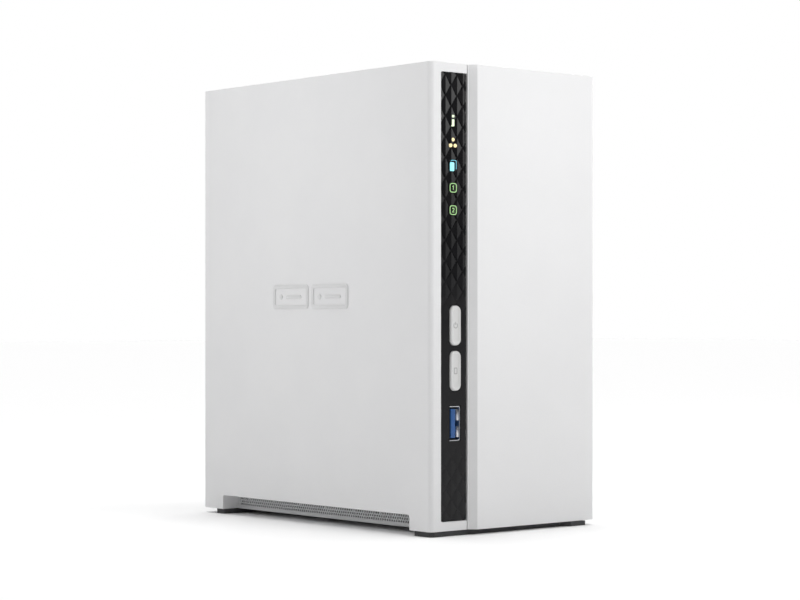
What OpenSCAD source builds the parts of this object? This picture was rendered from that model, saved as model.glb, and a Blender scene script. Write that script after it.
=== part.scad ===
// Two-bay desktop network attached storage.
// X runs to the right seen from the front, Y runs to the back, Z runs up.
// The origin is on the desk, below the middle of the case.

/* [Case] */
// Overall width across the front
body_w = 90.18; // [90:0.01:91]
// Overall depth, from the raised front panel to the rear rim
body_d = 156.26; // [156:0.01:158]
// Overall height, from the desk to the top
body_h = 188.64; // [188:0.01:190]
// Thickness of the moulded walls
wall_t = 2.2; // [2:0.1:2.4]
// Radius of the upright corners
corner_r = 2; // [1:0.1:2]
// Height of the rubber feet
foot_h = 2.2; // [1.8:0.1:2.4]
// Free gap between the cover and what it slides over
cover_gap = 0.3; // [0.2:0.05:0.4]

/* [Front] */
// How far the cover's front panel stands in front of the left frame
panel_raise = 2.38; // [2:0.01:2.8]
// Width of the left frame, from the side wall to the seam
frame_w = 19.4; // [19.2:0.1:20]
// Width of the sloped left edge of the raised panel
slope_w = 2.8; // [2.2:0.05:3.4]
// Width of the white edge left of the indicator strip
strip_inset = 5.55; // [5.3:0.05:5.8]
// White margin above and below the indicator strip
strip_margin = 3.7; // [3.4:0.1:4.2]
// Depth of the indicator strip's face below the frame
strip_recess = 0.3; // [0.2:0.05:0.4]

/* [Indicators and buttons] */
// Distance from the side wall to the middle of the indicators
icon_inset = 12.15; // [12:0.05:12.3]
// Height of the top indicator above the desk
icon_top_z = 165.8; // [164:0.1:168]
// Distance between one indicator and the next
icon_pitch = 8.9; // [8:0.1:9]
// Width of a button cap
button_w = 5.7; // [5.4:0.1:5.9]
// Height of a button cap
button_h = 15.9; // [14:0.1:15.9]
// Height of the power button's middle above the desk
power_z = 84; // [84:0.1:86]
// Height of the copy button's middle above the desk
copy_z = 65.9; // [64:0.1:65.9]
// Travel of a button
button_travel = 0.7; // [0.5:0.1:0.8]
// Height of the front USB port's middle above the desk
usb_z = 45.4; // [44:0.1:46]

/* [Side vents] */
// Height of the side cut-outs' top above the desk
vent_top = 8.4; // [8:0.1:8.8]
// Depth of the side cut-outs
vent_depth = 8.2; // [7.5:0.1:8.4]
// Distance from the raised front panel to the cut-outs
vent_front = 15.3; // [15:0.1:16]
// Distance from the rear rim to the cut-outs
vent_back = 14.9; // [14.9:0.1:16]
// Number of slots in a vent panel
vent_slots = 40; // [20:1:42]

/* [Drives] */
// Length of a 3.5 inch drive
drive_l = 147; // [146:0.1:147]
// Width of a 3.5 inch drive
drive_w = 101.6; // [101:0.1:101.6]
// Thickness of a 3.5 inch drive
drive_t = 26.1; // [25.4:0.1:26.1]
// Radius of a platter
platter_r = 47.5; // [46:0.1:47.5]

/* [Fan] */
// Side of the square fan frame
fan_size = 80; // [78:1:80]
// Thickness of the fan
fan_t = 25; // [24:0.5:25]
// Distance between the fan's screw holes
fan_pitch = 71.5; // [70:0.5:71.5]
// Number of fan blades
fan_blades = 7; // [5:1:9]

/* [Hidden] */
$fn = 48;
eps = 0.01;
far = 300;
half_w = body_w / 2;
half_d = body_d / 2;
wall_in = half_w - wall_t;
base_top = foot_h + wall_t;
roof_in = body_h - wall_t;
frame_y = -half_d + panel_raise;
frame_in = frame_y + wall_t;
panel_back_y = -half_d + wall_t;
seam_x = -half_w + frame_w;
cover_x = seam_x + 0.5;
slope_x = seam_x + 0.8;
slope_end = slope_x + slope_w;
lip_t = 1.4;

// Indicator strip
strip_x = -half_w + strip_inset;
strip_low = foot_h + strip_margin;
strip_high = body_h - strip_margin;
strip_y = frame_y + strip_recess;
strip_fit = 0.12;
flange_t = 1;
flange_side = 1.6;
flange_end = 1.2;
bezel_back = frame_in + flange_t;
icon_x = -half_w + icon_inset;
network_z = icon_top_z - 9.1;
icon_copy_z = network_z - icon_pitch;
disk_1_z = icon_copy_z - icon_pitch;
disk_2_z = disk_1_z - icon_pitch;
dot_r = 0.95;
dot_x = 1.28;
dot_high = 1.4;
dot_low = -0.95;
window_gap = 0.05;
button_x = -half_w + 13.3;
button_gap = 0.25;
cap_proud = 0.5;
cap_flange = 0.8;
cap_flange_y = bezel_back + 0.2;
usb_x = button_x - 0.5;
usb_shell_t = 0.4;

// Front circuit board
front_board_y = -57.5;
front_board_t = 1.6;
front_board_low = 28;
front_board_high = 172;
front_board_left = -41.4;
front_board_right = -24.5;
rail_x = -40.2;
rail_lap = 1.4;
rail_end = 4;
lamp_t = 0.8;
switch_t = 3.5;
switch_w = 6;
stem_r = 1.6;

// Main circuit board
board_x = -39.5;
board_t = 1.6;
board_face = board_x + board_t;
board_front = -53;
board_back = 71;
board_low = 14;
board_high = 95;
board_points = [[-48, 19], [-48, 90], [44, 19], [44, 90]];
standoff_r = 3;
chip_t = 1.2;
processor_y = 0;
processor_z = 57;
processor_w = 17;
sink_w = 38;
sink_base = 2;
sink_h = 10;
sink_fins = 9;
capacitor_points = [[53, 26], [45, 31], [36, 26], [52, 62], [52, 71]];
cell_y = -36;
cell_z = 37;

// Screws
screw_r = 1.2;
screw_hole_r = 1.3;
head_r = 2.7;
head_t = 1.5;
drive_screw_r = 1.7;
drive_hole_r = 1.75;
drive_head_t = 1.3;
fan_screw_r = 2;
fan_hole_r = 2.15;

// Rear panel and its ports
panel_t = 1;
panel_in = half_d - 3.7;
panel_out = panel_in + panel_t;
panel_edge = 0.4;
port_face = panel_out + 0.2;
port_gap = 0.3;
inlet_z = 23;
inlet_w = 9;
inlet_h = 11;
inlet_front = 61;
inlet_x = board_face + 5.5;
inlet_bore_r = 3.15;
inlet_pin_r = 1;
ethernet_z = 41;
ethernet_w = 16;
ethernet_h = 13.5;
ethernet_front = 54;
rear_usb_z = [61, 77.5];
rear_usb_w = 14;
rear_usb_h = 6.6;
rear_usb_front = 61;
reset_z = 90.5;
reset_x = board_face + 2.4;
reset_r = 0.9;
lock_x = 28;
lock_z = 30;
cover_screws_at = [[half_w - 5.9, body_h - 6], [half_w - 5.3, foot_h + 12]];
panel_screws_at = [[-39.5, 181], [-39.3, 10.8], [20, foot_h + 6.4]];
boss_r = 2.9;
boss_front = half_d - vent_back + 2.2;

// Fan
fan_x = 1;
fan_z = 137;
fan_back = panel_in;
fan_front = fan_back - fan_t;
fan_open_r = fan_size / 2 - 1.8;
fan_base_t = 3;
hub_r = 17;
hub_wall = 1.5;
fan_shaft_r = 1.5;
fan_bore_r = 1.55;
tube_r = 3.4;
hex_pitch = 5.9;
hex_r = 2.6;

// Drive cage
sheet_t = 1;
cage_left = -19.1;
cage_right = 40.1;
cage_front = -69.5;
cage_back = 36;
cage_floor = 18;
cage_top = 178;
drive_gap = 1.2;
drive_x = [cage_left + sheet_t + drive_gap, cage_right - sheet_t - drive_gap];
drive_y = -17.7;
drive_z = 27.8;
drive_hole_z = [41.28, 85.73];
drive_hole_y = 47.625;
post_points = [[-40, 181], [25, 181]];
post_r = 3.4;
tab_points = [[-11, -56], [-11, 28], [30, -56], [30, 28]];
tab_z = 9;
tab_w = 10;

// Backplane
backplane_z = 20.6;
backplane_t = 1.6;
backplane_front = -52;
backplane_back = 17;
backplane_right = 36.5;
edge_x = -32;
edge_front = -22;
edge_back = 14;
socket_w = 5;
socket_l = 33.4;
socket_x = 5;
socket_y = 14;

// Inside a drive: X from its board side, Y from its middle, Z from its connector end
rail_depth = 2.2;
rail_y = 44;
cavity_x = 4;
lid_t = 1;
spindle_z = drive_l - 51.5;
spindle_r = 4;
pivot_y = 20;
pivot_z = 33;
pivot_r = 3;
run_gap = 0.05;
arm_l = 48;
arm_rest = 157;
arm_blades_x = [8.4, 13.2, 18.3];
arm_t = 0.8;
platter_t = 1.27;
platters_x = [10, 16];

// Box between two opposite corners.
module box(low, high) {
    translate(low) cube(high - low);
}

// Flat rectangle with round corners, between two opposite corners.
module rounded(low, high, r) {
    translate([low.x + r, low.y]) square([high.x - low.x - 2 * r, high.y - low.y]);
    translate([low.x, low.y + r]) square([high.x - low.x, high.y - low.y - 2 * r]);
    for (x = [low.x + r, high.x - r], y = [low.y + r, high.y - r])
        translate([x, y]) circle(r);
}

// Flat rectangle with round corners, around a middle point.
module pad(middle, size, r) {
    rounded(middle - size / 2, middle + size / 2, r);
}

// Stands a flat X-Z shape between two depths.
module facing(y0, y1) {
    translate([0, y1, 0]) rotate([90, 0, 0]) linear_extrude(y1 - y0) children();
}

// Stands a flat Y-Z shape between two X positions.
module sideways(x0, x1) {
    translate([x0, 0, 0]) rotate([90, 0, 90]) linear_extrude(x1 - x0) children();
}

// Lays a flat X-Y shape between two heights.
module level(z0, z1) {
    translate([0, 0, z0]) linear_extrude(z1 - z0) children();
}

// Round rods along each axis.
module rod_x(x0, x1, y, z, r) {
    translate([x0, y, z]) rotate([0, 90, 0]) cylinder(h = x1 - x0, r = r);
}
module rod_y(y0, y1, x, z, r) {
    translate([x, y1, z]) rotate([90, 0, 0]) cylinder(h = y1 - y0, r = r);
}
module rod_z(z0, z1, x, y, r) {
    translate([x, y, z0]) cylinder(h = z1 - z0, r = r);
}

// Pan-head screw with its seat at the origin and its shank down -Z.
module screw(length, r = screw_r, head_h = head_t) {
    translate([0, 0, -length]) cylinder(h = length + eps, r = r);
    difference() {
        cylinder(h = head_h, r = head_r);
        translate([0, 0, head_h - 0.7]) linear_extrude(1) {
            square([2.8, 0.6], center = true);
            square([0.6, 2.8], center = true);
        }
    }
}
module screw_facing_right(x, y, z, length) {
    translate([x, y, z]) rotate([0, 90, 0]) screw(length);
}
module screw_facing_back(y, x, z, length, r = screw_r) {
    translate([x, y, z]) rotate([-90, 0, 0]) screw(length, r);
}

// Places one drive's own frame in the case: the second is turned about the upright.
module in_bay(bay) {
    translate([drive_x[bay - 1], drive_y, drive_z]) rotate([0, 0, bay == 2 ? 180 : 0])
        children();
}

// ------------------------------------------------------------ case

// Left part of the case seen from above.
module left_plan() {
    r = corner_r;
    translate([-half_w + r, frame_y]) square([frame_w - r, half_d - frame_y]);
    translate([-half_w, frame_y + r]) square([frame_w, half_d - frame_y - 2 * r]);
    for (y = [frame_y + r, half_d - r])
        translate([-half_w + r, y]) circle(r);
}

// Cover seen from above, solid, with the sloped edge of its raised panel.
module cover_plan() {
    r = corner_r;
    polygon([
        [cover_x, frame_y], [slope_x, frame_y], [slope_end, -half_d],
        [half_w - r, -half_d], [half_w - r, half_d], [cover_x, half_d]
    ]);
    translate([0, -half_d + r]) square([half_w, body_d - 2 * r]);
    for (y = [-half_d + r, half_d - r])
        translate([half_w - r, y]) circle(r);
}

// Side cut-out seen from the side, open at the bottom.
module vent_outline(grow = 0) {
    rounded([-half_d + vent_front - grow, -10], [half_d - vent_back + grow, vent_top + grow], 1);
}

// Ceiling and end walls around the recess behind a side cut-out.
module vent_recess(outer) {
    inner = half_w - vent_depth - 1.5;
    intersection() {
        sideways(inner, outer) vent_outline(1.5);
        box([inner, -half_d, foot_h], [outer, half_d, vent_top + 1.5]);
    }
}

// Ribbed rail with a groove for the front board's edge.
module board_rail() {
    difference() {
        box([-wall_in - eps, front_board_y - rail_lap, front_board_low + rail_end],
            [rail_x, front_board_y + front_board_t + rail_lap, front_board_high - rail_end]);
        box([front_board_left - 0.1, front_board_y - 0.1, 0],
            [0, front_board_y + front_board_t + 0.1, body_h]);
    }
}

module panel_bosses() {
    for (p = panel_screws_at) rod_y(boss_front, panel_in, p.x, p.y, boss_r);
    for (i = [0, 1])
        box([-wall_in - eps, boss_front, panel_screws_at[i].y - 1],
            [panel_screws_at[i].x, panel_in, panel_screws_at[i].y + 1]);
    box([panel_screws_at[2].x - 1, boss_front, base_top - eps],
        [panel_screws_at[2].x + 1, panel_in, panel_screws_at[2].y]);
}

module left_shell() {
    color("#ececea") difference() {
        union() {
            difference() {
                level(foot_h, body_h) left_plan();
                box([-wall_in, frame_in, base_top], [seam_x + 1, half_d + 1, roof_in]);
            }
            // Base below the cover, clear of the cover's front panel
            level(foot_h, base_top) polygon([
                [seam_x - 1, frame_in + cover_gap], [slope_x + 0.6, frame_in + cover_gap],
                [slope_end + 0.6, panel_back_y + cover_gap],
                [wall_in - cover_gap, panel_back_y + cover_gap],
                [wall_in - cover_gap, half_d], [seam_x - 1, half_d]
            ]);
            // Lip that the cover's roof slides over
            box([seam_x - 3, frame_in + 2, roof_in - cover_gap - lip_t],
                [seam_x + 2.5, half_d - 6, roof_in - cover_gap]);
            box([seam_x - 3, frame_in + 2, roof_in - cover_gap - lip_t],
                [seam_x - 0.6, half_d - 6, roof_in + eps]);
            vent_recess(wall_in - cover_gap);
            mirror([1, 0, 0]) vent_recess(wall_in + eps);
            for (p = board_points) rod_x(-wall_in - eps, board_x, p.x, p.y, standoff_r);
            for (p = post_points) rod_x(-wall_in - eps, cage_left, p.x, p.y, post_r);
            for (p = tab_points) rod_z(base_top - eps, tab_z, p.x, p.y, post_r);
            panel_bosses();
            board_rail();
        }
        // Opening for the indicator strip
        facing(frame_y - 1, frame_in + 1)
            rounded([strip_x, strip_low], [seam_x + 5, strip_high], 0.8);
        sideways(-half_w - 1, -half_w + vent_depth + 1.5) vent_outline();
        sideways(half_w - vent_depth - 1.5, half_w + 1) vent_outline();
        for (p = board_points) rod_x(-wall_in - 1, 0, p.x, p.y, screw_hole_r);
        for (p = post_points) rod_x(cage_left - 10, 0, p.x, p.y, screw_hole_r);
        for (p = tab_points) rod_z(foot_h + 1, body_h, p.x, p.y, screw_hole_r);
        for (p = panel_screws_at) rod_y(panel_in - 8, far, p.x, p.y, screw_hole_r);
    }
}

module cover_shell() {
    color("#f4f4f2") difference() {
        union() {
            difference() {
                level(foot_h, body_h) cover_plan();
                level(foot_h - 1, roof_in) polygon([
                    [cover_x - 1, frame_in], [slope_x + 0.6, frame_in],
                    [slope_end + 0.6, panel_back_y], [wall_in, panel_back_y],
                    [wall_in, half_d + 1], [cover_x - 1, half_d + 1]
                ]);
            }
            // Bosses for the two cover screws
            for (p = cover_screws_at) {
                rod_y(panel_in - 11, panel_in - cover_gap, p.x, p.y, boss_r);
                box([p.x, panel_in - 11, p.y - 1], [wall_in + 1, panel_in - cover_gap, p.y + 1]);
            }
        }
        sideways(wall_in - 1, half_w + 1) vent_outline();
        for (p = cover_screws_at) rod_y(panel_in - 9, far, p.x, p.y, screw_r + 0.1);
    }
}

// Slotted panel at the back of a side recess, for the right side.
module vent_panel() {
    inner = half_w - vent_depth - 1.5;
    front = -half_d + vent_front;
    back = half_d - vent_back;
    pitch = (back - front - 3) / vent_slots;
    color("#9a9c9c") sideways(inner, inner + 1.5) difference() {
        intersection() {
            vent_outline();
            translate([front, foot_h]) square([back - front, vent_top]);
        }
        for (i = [0 : vent_slots - 1])
            translate([front + 2.4 + i * pitch, foot_h + 1.5]) square([pitch - 1.3, 2.8]);
    }
}
module left_vent() {
    mirror([1, 0, 0]) vent_panel();
}
module right_vent() {
    vent_panel();
}

// Rubber strip across the front, stepped forward at its right end.
module front_foot() {
    left = -half_w + 1.5;
    right = half_w - 5;
    back = -half_d + 13.8;
    set_back = -half_d + 3.7;
    forward = -half_d + 0.7;
    color("#3d3d3d") difference() {
        level(0, foot_h) polygon([
            [left, back], [left, set_back + 1.5], [left + 1.7, set_back],
            [right - 12, set_back], [right - 8.5, forward], [right, forward], [right, back]
        ]);
        // Clear of the cover's lower edge
        box([right - 13, -half_d, foot_h - cover_gap],
            [half_w, panel_back_y + cover_gap, base_top]);
    }
}

module rear_foot() {
    color("#3d3d3d") level(0, foot_h)
        rounded([-half_w + 1.2, half_d - 14.8], [half_w - 5, half_d - 8], 1.2);
}

// ------------------------------------------------------------ indicator strip

module status_shape(grow = 0) {
    size = [1.5 + 2 * grow, 3.2 + 2 * grow];
    pad([icon_x, icon_top_z - 1.1], size, 0.3);
    pad([icon_x, icon_top_z + 1.9], [size.x, 1.2 + 2 * grow], 0.3);
}
module network_shape(grow = 0) {
    translate([icon_x, network_z + dot_high]) circle(dot_r + grow);
    for (side = [-1, 1])
        translate([icon_x + side * dot_x, network_z + dot_low]) circle(dot_r + grow);
}
module copy_shape(grow = 0) {
    pad([icon_x, icon_copy_z], [4.4 + 2 * grow, 4.6 + 2 * grow], 0.5);
}
module disk_shape(z, grow = 0) {
    pad([icon_x, z], [4.6 + 2 * grow, 4.1 + 2 * grow], 0.7);
}
module button_shape(z, grow = 0) {
    pad([button_x, z], [button_w + 2 * grow, button_h + 2 * grow], 2.4);
}
module usb_shape(grow = 0) {
    pad([usb_x, usb_z], [6.6 + 2 * grow, 15 + 2 * grow], 0.5);
}

module indicator_bezel() {
    color("#161618") difference() {
        union() {
            facing(strip_y, frame_in + eps)
                rounded([strip_x + strip_fit, strip_low + strip_fit],
                    [seam_x - strip_fit, strip_high - strip_fit], 0.7);
            facing(frame_in, bezel_back)
                rounded([strip_x - flange_side, strip_low - flange_end],
                    [seam_x - strip_fit, strip_high + flange_end], 0.7);
        }
        facing(strip_y - 1, bezel_back + 1) {
            status_shape(window_gap);
            network_shape(window_gap);
            copy_shape(window_gap);
            disk_shape(disk_1_z, window_gap);
            disk_shape(disk_2_z, window_gap);
            button_shape(power_z, button_gap);
            button_shape(copy_z, button_gap);
            usb_shape(0.15);
        }
    }
}

// A window reaches from the strip's face back to its lamp.
module window_depth() {
    facing(strip_y + 0.05, front_board_y - lamp_t - 0.4) children();
}
module status_window() {
    color("#d6f5c8") window_depth() status_shape();
}
module network_window() {
    color("#ffb03a") window_depth() network_shape();
}
module copy_window() {
    color("#66d6f5") window_depth() copy_shape();
}
module disk_1_window() {
    color("#8fe07a") window_depth() disk_shape(disk_1_z);
}
module disk_2_window() {
    color("#8fe07a") window_depth() disk_shape(disk_2_z);
}

// Cap, retaining flange behind the strip, and stem to its switch.
module button(z) {
    stem_end = front_board_y - switch_t - button_travel - 0.1;
    color("#f2f2f0") {
        facing(frame_y - cap_proud, cap_flange_y + eps) button_shape(z);
        facing(cap_flange_y, cap_flange_y + 1) button_shape(z, cap_flange);
        rod_y(cap_flange_y + 1 - eps, stem_end, button_x, z, stem_r);
    }
}
module power_button() {
    button(power_z);
}
module copy_button() {
    button(copy_z);
}

// ------------------------------------------------------------ front circuit board

module front_board() {
    color("#1f5a3a") facing(front_board_y, front_board_y + front_board_t)
        rounded([front_board_left, front_board_low], [front_board_right, front_board_high], 1);
}

module front_lamps() {
    color("#f5f2d8") facing(front_board_y - lamp_t, front_board_y) {
        for (z = [icon_top_z, icon_copy_z, disk_1_z, disk_2_z])
            translate([icon_x - 0.8, z - 0.5]) square([1.6, 1]);
        translate([icon_x - 0.5, network_z + dot_high - 0.5]) square(1);
        for (side = [-1, 1])
            translate([icon_x + side * dot_x - 0.5, network_z + dot_low - 0.5]) square(1);
    }
}

module front_switches() {
    color("#2b2b2e") for (z = [power_z, copy_z])
        facing(front_board_y - switch_t, front_board_y)
            pad([button_x, z], [switch_w, switch_w], 0.4);
}

module front_usb_shell() {
    color("#b9bcc0") difference() {
        facing(strip_y - 0.1, front_board_y) usb_shape();
        facing(strip_y - 1, front_board_y - 0.8) usb_shape(-usb_shell_t);
    }
}

module front_usb_tongue() {
    left = usb_x - 2.4;
    block_y = front_board_y - 4;
    color("#1c4fc4") {
        box([left, strip_y + 0.6, usb_z - 5.6], [left + 1.9, block_y + eps, usb_z + 5.6]);
        box([usb_x - 2.85, block_y, usb_z - 6.8],
            [usb_x + 2.85, front_board_y - 0.8, usb_z + 6.8]);
    }
}

module front_usb_contacts() {
    left = usb_x - 0.5;
    color("#d9b45a") for (i = [0 : 3])
        box([left, strip_y + 1.4, usb_z - 4.3 + i * 2.5],
            [left + 0.3, front_board_y - 4, usb_z - 3.2 + i * 2.5]);
}

// Flat cable with a plug at each board, bent once round a quarter circle.
module ribbon_cable() {
    start_y = front_board_y + front_board_t;
    plug_t = 2.5;
    cable_x = -30;
    bend_r = 5;
    bend_y = start_y + plug_t + 4;
    low = 74;
    high = 84;
    t = 0.4;
    color("#e9e6da") {
        box([cable_x - 3, start_y, low - 2], [cable_x + 3, start_y + plug_t, high + 2]);
        box([cable_x - t / 2, start_y + plug_t - eps, low],
            [cable_x + t / 2, bend_y + eps, high]);
        translate([cable_x - bend_r, bend_y, low]) rotate_extrude(angle = 90)
            translate([bend_r - t / 2, 0]) square([t, high - low]);
        box([board_face + plug_t - eps, bend_y + bend_r - t / 2, low],
            [cable_x - bend_r + eps, bend_y + bend_r + t / 2, high]);
        box([board_face, bend_y + bend_r - 3, low - 2],
            [board_face + plug_t, bend_y + bend_r + 3, high + 2]);
    }
}

// ------------------------------------------------------------ main circuit board

module main_board() {
    color("#1d4f38") difference() {
        sideways(board_x, board_face)
            rounded([board_front, board_low], [board_back, board_high], 1.5);
        for (p = board_points) rod_x(board_x - 1, board_face + 1, p.x, p.y, screw_hole_r);
    }
}

module processor() {
    color("#2a2a2c") sideways(board_face, board_face + chip_t)
        pad([processor_y, processor_z], [processor_w, processor_w], 0.3);
}

module heatsink() {
    base_x = board_face + chip_t;
    pitch = (sink_w - 1.2) / (sink_fins - 1);
    color("#9fa3a6") {
        sideways(base_x, base_x + sink_base)
            pad([processor_y, processor_z], [sink_w, sink_w], 1);
        for (i = [0 : sink_fins - 1])
            box([base_x + sink_base - eps, processor_y - sink_w / 2 + i * pitch,
                    processor_z - sink_w / 2 + 1],
                [base_x + sink_h, processor_y - sink_w / 2 + i * pitch + 1.2,
                    processor_z + sink_w / 2 - 1]);
    }
}

module memory_chips() {
    color("#2a2a2c") sideways(board_face, board_face + chip_t) {
        for (z = [56, 72]) pad([-30, z], [9, 13], 0.3);
        pad([34, 46], [8, 8], 0.3);
        pad([34, 70], [10, 7], 0.3);
    }
}

module capacitors() {
    color("#31343a") for (p = capacitor_points)
        rod_x(board_face, board_face + 8, p.x, p.y, 3);
}

module coin_cell() {
    color("#c3c6c9") {
        rod_x(board_face, board_face + 1.5 + eps, cell_y, cell_z, 8.6);
        rod_x(board_face + 1.5, board_face + 4.7, cell_y, cell_z, 10);
    }
}

module board_screws() {
    color("#b8bcc2") for (p = board_points)
        screw_facing_right(board_face, p.x, p.y, 5.4);
}

// ------------------------------------------------------------ rear ports

module ethernet_jack() {
    low_x = board_face + 2.3;
    high_x = board_face + 10.5;
    mouth = port_face + 1;
    color("#b4b7ba") difference() {
        box([board_face, ethernet_front, ethernet_z - ethernet_w / 2],
            [board_face + ethernet_h, port_face, ethernet_z + ethernet_w / 2]);
        box([low_x, ethernet_front + 7, ethernet_z - 5.9], [high_x, mouth, ethernet_z + 5.9]);
        box([high_x - eps, ethernet_front + 11, ethernet_z - 3],
            [high_x + 1.7, mouth, ethernet_z + 3]);
    }
}

module ethernet_contacts() {
    x = board_face + 2.5;
    back = ethernet_front + 7;
    color("#d9b45a") for (i = [0 : 7])
        box([x, back, ethernet_z - 3.8 + i * 1.02], [x + 0.35, back + 12, ethernet_z - 3.3 + i * 1.02]);
}

module rear_usb_outline(z, grow = 0) {
    pad([board_face + rear_usb_h / 2, z], [rear_usb_h + 2 * grow, rear_usb_w + 2 * grow], 0.5);
}

module rear_usb_shells() {
    color("#b9bcc0") for (z = rear_usb_z) difference() {
        facing(rear_usb_front, port_face) rear_usb_outline(z);
        facing(rear_usb_front + 0.8, port_face + 1) rear_usb_outline(z, -usb_shell_t);
    }
}

module rear_usb_tongues() {
    low = board_face + usb_shell_t + 0.05;
    high = board_face + rear_usb_h - usb_shell_t - 0.05;
    block_y = rear_usb_front + 3;
    color("#26272a") for (z = rear_usb_z) {
        box([low, rear_usb_front + 0.8, z - 6.2], [high, block_y, z + 6.2]);
        box([high - 2.4, block_y - eps, z - 5.5], [high - 0.5, port_face - 0.6, z + 5.5]);
    }
}

module power_inlet() {
    color("#1e1e20") difference() {
        box([board_face, inlet_front, inlet_z - inlet_w / 2],
            [board_face + inlet_h, port_face, inlet_z + inlet_w / 2]);
        rod_y(inlet_front + 3, far, inlet_x, inlet_z, inlet_bore_r);
        rod_y(inlet_front + 1, far, inlet_x, inlet_z, inlet_pin_r + 0.02);
    }
}

module power_inlet_pin() {
    color("#c9ccd0") rod_y(inlet_front + 1, port_face - 1.5, inlet_x, inlet_z, inlet_pin_r);
}

module reset_switch() {
    color("#2b2b2e") difference() {
        box([board_face, 64, reset_z - 2.5], [board_face + 4.4, 70.4, reset_z + 2.5]);
        rod_y(67.6, far, reset_x, reset_z, reset_r + 0.08);
    }
}

module reset_button() {
    color("#e0e0de") rod_y(69.2, panel_in - 0.4, reset_x, reset_z, reset_r);
}

// ------------------------------------------------------------ rear panel

// Honeycomb of air holes in front of the fan.
module air_holes() {
    row_h = hex_pitch * sin(60);
    reach = ceil(fan_open_r / row_h);
    for (j = [-reach : reach], i = [-reach : reach]) {
        x = (i + (j % 2 == 0 ? 0 : 0.5)) * hex_pitch;
        z = j * row_h;
        if (norm([x, z]) < fan_open_r - hex_r - 0.5)
            translate([fan_x + x, fan_z + z]) rotate(30) circle(hex_r, $fn = 6);
    }
}

module fan_corners() {
    for (dx = [-1, 1], dz = [-1, 1])
        translate([fan_x + dx * fan_pitch / 2, fan_z + dz * fan_pitch / 2]) children();
}

module rear_panel() {
    color("#c9cccd") facing(panel_in, panel_out) difference() {
        translate([-wall_in + panel_edge, base_top + panel_edge])
            square([2 * (wall_in - panel_edge), roof_in - base_top - 2 * panel_edge]);
        air_holes();
        fan_corners() circle(fan_hole_r);
        for (p = concat(panel_screws_at, cover_screws_at)) translate(p) circle(1.5);
        pad([board_face + ethernet_h / 2, ethernet_z],
            [ethernet_h + 2 * port_gap, ethernet_w + 2 * port_gap], 0.3);
        pad([board_face + inlet_h / 2, inlet_z],
            [inlet_h + 2 * port_gap, inlet_w + 2 * port_gap], 0.3);
        for (z = rear_usb_z) rear_usb_outline(z, port_gap);
        translate([reset_x, reset_z]) circle(1.1);
        pad([lock_x, lock_z], [7, 3], 0.6);
    }
}

module rear_panel_screws() {
    color("#b8bcc2") for (p = panel_screws_at)
        screw_facing_back(panel_out, p.x, p.y, 7);
}

module cover_screws() {
    color("#b8bcc2") for (p = cover_screws_at)
        screw_facing_back(panel_out, p.x, p.y, 8);
}

// ------------------------------------------------------------ fan

module fan_frame() {
    color("#232326") difference() {
        union() {
            facing(fan_front, fan_back) difference() {
                pad([fan_x, fan_z], [fan_size, fan_size], 5);
                translate([fan_x, fan_z]) circle(fan_open_r);
                fan_corners() circle(fan_hole_r);
            }
            // Motor base on four struts, and the bearing tube
            facing(fan_back - fan_base_t, fan_back) translate([fan_x, fan_z]) {
                circle(hub_r - 1);
                for (a = [25 : 90 : 295])
                    rotate(a) translate([0, -1.5]) square([fan_open_r + 1, 3]);
            }
            rod_y(fan_front + 6, fan_back - fan_base_t + eps, fan_x, fan_z, tube_r);
        }
        rod_y(fan_front + 5, fan_back - 1.5, fan_x, fan_z, fan_bore_r);
    }
}

// Cup with a shaft, and flat blades set at an angle round it.
module fan_rotor() {
    cup_front = fan_front + 1;
    cup_back = fan_back - fan_base_t - 1.5;
    color("#1a1a1c") {
        difference() {
            rod_y(cup_front, cup_back, fan_x, fan_z, hub_r);
            rod_y(cup_front + 2, cup_back + 1, fan_x, fan_z, hub_r - hub_wall);
        }
        rod_y(cup_front + 2 - eps, fan_back - 2, fan_x, fan_z, fan_shaft_r);
        intersection() {
            facing(cup_front + 1, cup_back - 0.5) translate([fan_x, fan_z]) difference() {
                circle(fan_open_r - 1.2);
                circle(hub_r - 0.5);
            }
            for (i = [0 : fan_blades - 1])
                translate([fan_x, (cup_front + cup_back) / 2, fan_z])
                    rotate([0, i * 360 / fan_blades, 0]) rotate([0, 0, 38])
                    translate([-10.5, -0.8, 0]) cube([21, 1.6, fan_open_r]);
        }
    }
}

module fan_motor() {
    color("#b0713c") facing(fan_back - 17, fan_back - fan_base_t - 0.5)
        translate([fan_x, fan_z]) difference() {
            union() {
                circle(8);
                for (a = [0 : 60 : 120]) rotate(a) square([26, 5], center = true);
            }
            circle(tube_r + 0.02);
        }
}

module fan_screws() {
    color("#55585c") for (dx = [-1, 1], dz = [-1, 1])
        screw_facing_back(panel_out, fan_x + dx * fan_pitch / 2, fan_z + dz * fan_pitch / 2,
            9, fan_screw_r);
}

// Round wire swept along a path in a Y-Z plane; each point is [y, z, heading].
module wire(x, path, r) {
    sides = 8;
    last = len(path) - 1;
    ring = [for (p = path, k = [0 : sides - 1])
        let (a = k * 360 / sides)
        [x + r * cos(a), p.x - r * sin(a) * sin(p.z), p.y + r * sin(a) * cos(p.z)]];
    skin = [for (i = [0 : last - 1], k = [0 : sides - 1])
        let (n = (k + 1) % sides)
        [i * sides + k, i * sides + n, (i + 1) * sides + n, (i + 1) * sides + k]];
    polyhedron(ring, concat(skin, [
        [for (k = [sides - 1 : -1 : 0]) k],
        [for (k = [0 : sides - 1]) last * sides + k]
    ]));
}

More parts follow.
